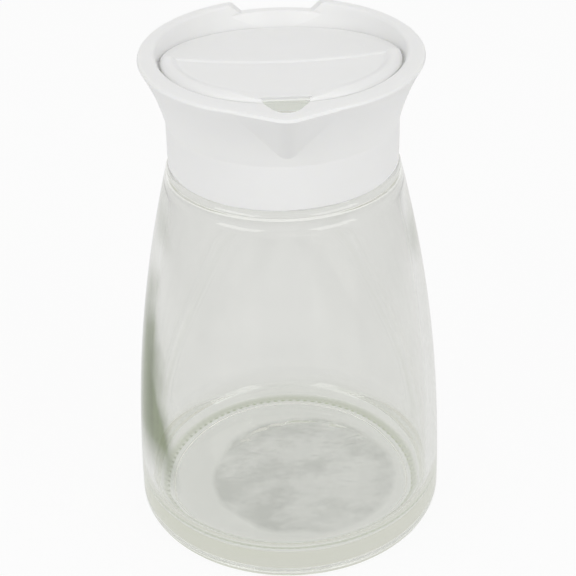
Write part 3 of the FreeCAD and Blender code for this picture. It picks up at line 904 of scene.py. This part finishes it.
@dataclass(frozen=True)
class Mottle:
    """Chilled, uneven skin of the raised panel underneath, from waves that get shorter and lower."""

    depth: float = 0.03125
    seed: int = 21
    waves: int = 20
    longest: float = 15.0
    shrink: float = 0.25
    stretch: float = 1.7
    fade: float = 2.0

    def relief(self, x: np.ndarray, y: np.ndarray, inward: np.ndarray) -> np.ndarray:
        """Lift of the skin.

        Args:
            x: Place across.
            y: Place front to back.
            inward: Distance of each point inside the panel's edge.

        Returns:
            Upward relief in mm.
        """
        rng = np.random.default_rng(self.seed)
        total = np.zeros_like(x)
        for k in range(self.waves):
            size = 1.0 / (1.0 + self.shrink * k)
            heading = rng.uniform(0.0, math.pi)
            along = (np.cos(heading) * x + self.stretch * np.sin(heading) * y) / (self.longest * size)
            total += size * np.sin(2.0 * math.pi * along + rng.uniform(0.0, 2.0 * math.pi))
        return self.depth * total * ramp(inward, self.fade)


@dataclass(frozen=True)
class Jar:
    """Pressed and blown glass jar with a screw neck, knurled underneath, sizes in mm.

    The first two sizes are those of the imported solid, and the others are set from them or by themselves.
    """

    body_radius: float
    neck_top: float
    heel_inset: float = 4.16
    heel_top: float = 4.65
    lower_bow: float = 412.5
    upper_bow: float = 358.4
    bow_change: float = 36.3
    shoulder_drop: float = 9.5
    shoulder_turn: float = 1.6
    shoulder_round: float = 1.7
    neck_radius: float = 23.4
    neck_wall: float = 3.0
    neck_fillet: float = 0.8
    rim_round: float = 0.7
    wall: float = 2.7
    inner_drop: float = 4.9
    waist: Point = (2.65, 2.75)
    bore_rise: float = 1.5
    corner_top: float = 13.0
    floor_ring: Point = (11.76, 6.6)
    floor_centre: float = 7.4
    pole_radius: float = 0.6
    panel_radius: float = 23.0
    panel_step: float = 0.45
    panel_bevel: float = 2.4
    panel_base: float = 1.65
    panel_centre: float = 3.0
    panel_shift: float = 3.5
    shift_radius: float = 29.5
    ring_width: float = 2.6
    ring_run: float = 1.6
    ring_rise: float = 1.1
    floor_wave: float = 0.09
    wave_margin: float = 2.0
    wave_fade: float = 10.0
    around: int = 400
    side_rows: int = 40
    inner_rows: int = 30
    waves: tuple[Unevenness, ...] = (
        Unevenness(Zone.INSIDE, depth=0.10, seed=3, most=7),
        Unevenness(Zone.SIDE, depth=0.05, seed=5, most=9),
    )
    thread: Thread = Thread()
    knurls: Knurls = Knurls()
    mottle: Mottle = Mottle()
    finish: GlassFinish = GlassFinish()

    @property
    def bearing_radius(self) -> float:
        """Outer edge of the ring that the jar stands on."""
        return self.body_radius - self.heel_inset

    @property
    def shoulder_top(self) -> float:
        """Height of the flat shoulder at the neck."""
        return self.neck_top - self.shoulder_drop

    @property
    def shoulder_height(self) -> float:
        """Height at which the side turns into the shoulder."""
        return self.shoulder_top - self.shoulder_turn

    @property
    def bore_radius(self) -> float:
        """Inside of the neck."""
        return self.neck_radius - self.neck_wall

    def bows(self) -> tuple[Point, Point, float]:
        """Find the two arcs of the side.

        Returns:
            Centres of the lower and the upper arc, and the angle at which they meet.
        """
        lower = (self.body_radius - self.lower_bow, self.heel_top)
        turn = math.asin((self.bow_change - self.heel_top) / self.lower_bow)
        step = self.lower_bow - self.upper_bow
        return lower, (lower[0] + step * math.cos(turn), lower[1] + step * math.sin(turn)), turn

    def side(self, height: float, inset: float = 0.0) -> Point:
        """Point of the side at a height.

        Args:
            height: Height above the table.
            inset: Distance into the glass.

        Returns:
            Radius and height.
        """
        lower, upper, turn = self.bows()
        change = lower[1] + (self.lower_bow - inset) * math.sin(turn)
        centre, bow = (lower, self.lower_bow) if height < change else (upper, self.upper_bow)
        return centre[0] + math.sqrt((bow - inset) ** 2 - (height - centre[1]) ** 2), height

    def slope(self, height: float) -> Point:
        """Direction of the side going up at a height."""
        upper = self.bows()[1]
        return -(height - upper[1]) / self.upper_bow, 1.0

    def wall_line(self, cut: Section, start: float, end: float, inset: float, rows: int, zone: Zone) -> None:
        """Follow the side from one height to another.

        Args:
            cut: Section that is being walked.
            start: First height, not put down.
            end: Last height.
            inset: Distance into the glass.
            rows: Number of equal steps.
            zone: Zone of the new points.
        """
        for k in range(1, rows + 1):
            cut.put(self.side(start + (end - start) * k / rows, inset), zone)

    def walk_inside(self, cut: Section) -> None:
        """Walk the glass from the middle of the floor up the inside to the rim.

        Args:
            cut: Section that takes the points.
        """
        turn_in = self.shoulder_height - self.inner_drop
        waist = (self.bore_radius + self.waist[0], self.shoulder_top - self.waist[1])
        cut.put((self.pole_radius, self.floor_centre), Zone.FLOOR)
        cut.arc((1.0, 0.0), (self.body_radius - self.floor_ring[0], self.floor_ring[1]), 20, Zone.FLOOR)
        cut.arc_into(self.side(self.corner_top, self.wall), (0.0, -1.0), 13, Zone.CORNER)
        self.wall_line(cut, self.corner_top, turn_in, self.wall, self.inner_rows, Zone.INSIDE)
        cut.arc(self.slope(turn_in), waist, 8, Zone.INSIDE)
        cut.arc_into((self.bore_radius, self.shoulder_top + self.bore_rise), (0.0, -1.0), 8, Zone.INSIDE)
        cut.line((self.bore_radius, self.neck_top - self.rim_round), 3, Zone.INSIDE)
        cut.arc((0.0, 1.0), (self.bore_radius + self.rim_round, self.neck_top), 5, Zone.INSIDE)

    def walk_outside(self, cut: Section) -> None:
        """Walk the glass from the rim down the neck and the side to the ring it stands on.

        Args:
            cut: Section that takes the points.
        """
        cut.line((self.neck_radius - self.rim_round, self.neck_top), 3, Zone.INSIDE)
        cut.arc((1.0, 0.0), (self.neck_radius, self.neck_top - self.rim_round), 5, Zone.INSIDE)
        cut.line((self.neck_radius, self.shoulder_top + self.neck_fillet), 26, Zone.NECK)
        cut.arc((0.0, -1.0), (self.neck_radius + self.neck_fillet, self.shoulder_top), 5, Zone.SIDE)
        turn_in = self.side(self.shoulder_height)
        cut.line((turn_in[0] - self.shoulder_round, self.shoulder_top), 3, Zone.SIDE)
        cut.arc((1.0, 0.0), turn_in, 8, Zone.SIDE)
        self.wall_line(cut, self.shoulder_height, self.heel_top, 0.0, self.side_rows, Zone.SIDE)
        cut.arc((0.0, -1.0), (self.bearing_radius, 0.0), 16, Zone.HEEL)

    def walk_underneath(self, cut: Section) -> None:
        """Walk the glass from the ring it stands on to the middle of the raised panel.

        Args:
            cut: Section that takes the points.
        """
        inner = self.bearing_radius - self.ring_width
        cut.line((inner, 0.0), 8, Zone.BEARING)
        cut.arc((-0.2, 1.0), (inner - self.ring_run, self.ring_rise), 6, Zone.UNDERSIDE)
        cut.line((self.panel_radius, self.panel_base), 6, Zone.UNDERSIDE)
        panel_edge = (self.panel_radius - self.panel_bevel, self.panel_base + self.panel_step)
        cut.line(panel_edge, 3, Zone.UNDERSIDE)
        cut.arc_into((self.pole_radius, self.panel_centre), (1.0, 0.0), 30, Zone.UNDERSIDE)

    def press(self, cut: Section, a: np.ndarray, r: np.ndarray, z: np.ndarray) -> None:
        """Press waves, thread and knurls into the turned points, in place.

        Args:
            cut: Section that tells the zones of the rows.
            a: Angles, a row for each point of the section.
            r: Radii, changed here.
            z: Heights, changed here.
        """
        for wave in self.waves:
            at = cut.rows(wave.zone)
            fade = ramp(self.shoulder_top - self.wave_margin - z[at], self.wave_fade)
            r[at] -= fade * wave.relief(a[at], z[at])
        at = cut.rows(Zone.NECK)
        r[at] += self.thread.relief(a[at], z[at] - self.shoulder_top)
        at = cut.rows(Zone.BEARING, Zone.HEEL)
        z[at] += self.knurls.relief(r[at] - self.bearing_radius, a[at], z[at])
        at = cut.rows(Zone.FLOOR)
        ripple = soft_noise(2.0 * a[at], 9.0 * r[at], seed=11, waves=8, most=3)
        z[at] += self.floor_wave * ripple * ramp(r[at], 6.0)

    def build(self) -> bpy.types.Object:
        """Turn the section and press its relief.

        Returns:
            The glass.
        """
        cut = Section()
        self.walk_inside(cut)
        self.walk_outside(cut)
        self.walk_underneath(cut)
        rows = len(cut.points)
        radius, height = np.array(cut.points).T
        turn = 2.0 * math.pi * np.arange(self.around) / self.around
        r = np.repeat(radius[:, None], self.around, axis=1)
        z = np.repeat(height[:, None], self.around, axis=1)
        a = np.repeat(turn[None, :], rows, axis=0)
        self.press(cut, a, r, z)
        x, y = r * np.cos(a), r * np.sin(a)
        at = cut.rows(Zone.UNDERSIDE)
        x[at] += self.panel_shift * ramp(self.shift_radius - r[at], self.shift_radius - self.panel_radius)
        z[at] += self.mottle.relief(x[at], y[at], self.panel_radius - r[at])
        co = np.stack([x, y, z], axis=2).reshape(-1, 3)
        poles = np.array([[0.0, 0.0, self.floor_centre], [self.panel_shift, 0.0, self.panel_centre]])
        return make_object("jar_glass", np.concatenate([poles, co]), lathe_faces(rows, self.around))

    def marks(self) -> GlassPaintedLight:
        """Place the painted light and shade of the glass by the jar's own sizes.

        Returns:
            The marks.
        """
        heights = np.linspace(self.heel_top, self.shoulder_height, 40)
        outline = np.polyfit(heights * MM, [self.side(z)[0] * MM for z in heights], 2)
        return GlassPaintedLight(
            outline=tuple(float(v) for v in outline), disc_centre=self.panel_shift,
            disc_radius=self.panel_radius + 0.6, ring_radius=self.bearing_radius - 0.4,
            knurls=self.knurls.count)

    def dress(self) -> bpy.types.Object:
        """Build the jar, give it its glass and put it in the solid's place.

        Returns:
            The finished piece.
        """
        jar = self.build()
        jar.data.materials.append(self.finish.material(self.marks()))
        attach(jar, Body.BASE.value)
        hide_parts(Node.JAR.value)
        return jar


# --------------------------------------------------------------------- the lid
@dataclass
class Moulding:
    """One moulded piece of the lid that keeps the solid's own shape."""

    node: Node
    finish: PlasticFinish

    def dress(self, surface: Group, shaded: Group) -> bpy.types.Object:
        """Give the solid its plastic.

        Args:
            surface: The shared group for moulded surfaces.
            shaded: The shared group that masks the inner faces for the painted glow.

        Returns:
            The dressed piece.
        """
        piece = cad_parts[self.node.value]
        piece.data.materials.clear()
        piece.data.materials.append(self.finish.material(surface, shaded))
        return piece


# ------------------------------------------------------------------ the studio
@dataclass
class Camera:
    """Camera that looks down on the front of the dispenser, sizes in mm and degrees."""

    place: tuple[float, float, float] = (0.0, -334.9, 271.0)
    turn: float = -1.9
    heading: float = 0.075
    pitch: float = 32.005
    roll: float = -1.203
    lens: float = 100.0
    sensor: float = 36.0

    def build(self) -> bpy.types.Object:
        """Make the camera and set it as the scene's.

        Returns:
            The camera.
        """
        heading, pitch, roll = (math.radians(v) for v in (self.heading, self.pitch, self.roll))
        level = math.cos(pitch)
        ahead = Vector((math.sin(heading) * level, math.cos(heading) * level, -math.sin(pitch)))
        right = ahead.cross(Vector((0.0, 0.0, 1.0))).normalized()
        up = right.cross(ahead)
        side = math.cos(roll) * right + math.sin(roll) * up
        top = math.cos(roll) * up - math.sin(roll) * right
        pose = Matrix((side, top, -ahead)).transposed().to_4x4()
        pose.translation = Vector(self.place) * MM
        data = bpy.data.cameras.new("camera")
        data.lens = self.lens
        data.sensor_width = self.sensor
        data.clip_start = 0.01
        camera = bpy.data.objects.new("camera", data)
        camera.matrix_world = Matrix.Rotation(math.radians(self.turn), 4, "Z") @ pose
        bpy.context.scene.collection.objects.link(camera)
        bpy.context.scene.camera = camera
        return camera


@dataclass(frozen=True)
class SoftBox:
    """Rectangular lamp aimed at a point, sizes in metres and watts."""

    name: str
    place: tuple[float, float, float]
    size: tuple[float, float] = (0.95, 0.6)
    power: float = 4.8
    aim: tuple[float, float, float] = (0.0, 0.0, 0.09)

    def build(self) -> bpy.types.Object:
        """Make the lamp.

        Returns:
            The lamp.
        """
        data = bpy.data.lights.new(self.name, "AREA")
        data.shape = "RECTANGLE"
        data.size, data.size_y = self.size
        data.energy = self.power
        lamp = bpy.data.objects.new(self.name, data)
        lamp.location = self.place
        away = Vector(self.place) - Vector(self.aim)
        lamp.rotation_euler = away.to_track_quat("Z", "Y").to_euler()
        bpy.context.scene.collection.objects.link(lamp)
        return lamp


@dataclass
class Studio:
    """White paper floor, even surroundings and two soft lamps, sizes in metres."""

    ambient: float = 0.60
    floor_half: float = 4.0
    floor_cells: int = 24
    paper: SweepFinish = SweepFinish()
    fall: SideFall = SideFall(left=(0.3, 0.5), right=(0.3, 0.55))
    lamps: tuple[SoftBox, ...] = (
        SoftBox("left_lamp", place=(-0.84, -0.655, 0.92)),
        SoftBox("right_lamp", place=(0.84, -0.655, 0.92)),
    )

    def floor(self) -> bpy.types.Object:
        """Lay the paper a little larger than anything the camera sees.

        Returns:
            The floor.
        """
        cells, wide = self.floor_cells, self.floor_cells + 1
        span = np.linspace(-self.floor_half, self.floor_half, wide)
        co = np.array([(x, y, 0.0) for y in span for x in span]) / MM
        faces = [(i * wide + j, i * wide + j + 1, (i + 1) * wide + j + 1, (i + 1) * wide + j)
                 for i in range(cells) for j in range(cells)]
        sheet = make_object("floor_paper", co, faces)
        sheet.data.materials.append(self.paper.material())
        return sheet

    def world(self) -> bpy.types.World:
        """Make the white surroundings, dimmer at the sides for what the glass bends there.

        Returns:
            The world.
        """
        world = bpy.data.worlds.new("surroundings")
        world.use_nodes = True
        world.node_tree.nodes.clear()
        tree = Tree(world.node_tree)
        ahead = tree.add("ShaderNodeTexCoord").outputs["Generated"]
        path = tree.add("ShaderNodeLightPath").outputs
        white = tree.math("MAXIMUM", path["Is Camera Ray"], self.fall.level(tree, tree.axes(ahead)["X"]))
        seen = tree.math("MAXIMUM", tree.math("MAXIMUM", path["Is Camera Ray"], path["Is Glossy Ray"]),
                         path["Is Transmission Ray"])
        level = tree.remap(seen, 0.0, 1.0, self.ambient, white)
        glow = tree.add("ShaderNodeBackground", Color=WHITE, Strength=level)
        tree.add("ShaderNodeOutputWorld", Surface=glow.outputs["Background"])
        bpy.context.scene.world = world
        return world

    def build(self) -> None:
        """Set the scene's view, floor, world and lamps."""
        bpy.context.scene.view_settings.view_transform = "Standard"
        self.floor()
        self.world()
        for lamp in self.lamps:
            lamp.build()


def extent(node: Node) -> tuple[float, float]:
    """Widest radius and greatest height of a solid, to a hundredth of a millimetre."""
    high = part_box(node.value)[1]
    return round(high.x / MM, 2), round(high.z / MM, 2)


def report(piece: bpy.types.Object, body: Body, slot: Slot) -> None:
    """Log one finished piece.

    Args:
        piece: The piece.
        body: Body that it moves with.
        slot: Slot of the record that its finish belongs to.
    """
    low, high = (Vector(c) for c in (piece.bound_box[0], piece.bound_box[6]))
    size = " x ".join("%.1f" % ((b - a) / MM) for a, b in zip(low, high))
    LOG.info("%s on %s, %s: %d faces, %s mm", piece.name, body.value, slot.value,
             len(piece.data.polygons), size)


def main() -> None:
    """Build the dispenser and its studio."""
    logging.basicConfig(level=logging.INFO, format="%(name)s: %(message)s")
    surface, shaded = moulded_surface(), painted_glow_mask()
    Camera().build()
    Studio().build()
    report(Jar(*extent(Node.JAR)).dress(), Body.BASE, Slot.GLASS)
    # Painted light: the collar's inner faces and the flap's underside glow.
    room = Interior(low_radius=26.2, high_radius=27.8, step_height=113.5, top_height=117.5)
    collar = Moulding(Node.COLLAR, PlasticFinish("white_collar_plastic", interior=room))
    report(collar.dress(surface, shaded), Body.BASE, Slot.PLASTIC)
    below = Interior(underside=1.0)
    flap = Moulding(Node.FLAP, PlasticFinish("white_flap_plastic", roughness=0.34, interior=below))
    report(flap.dress(surface, shaded), Body.FLAP, Slot.PLASTIC)


if __name__ == "__main__":
    main()
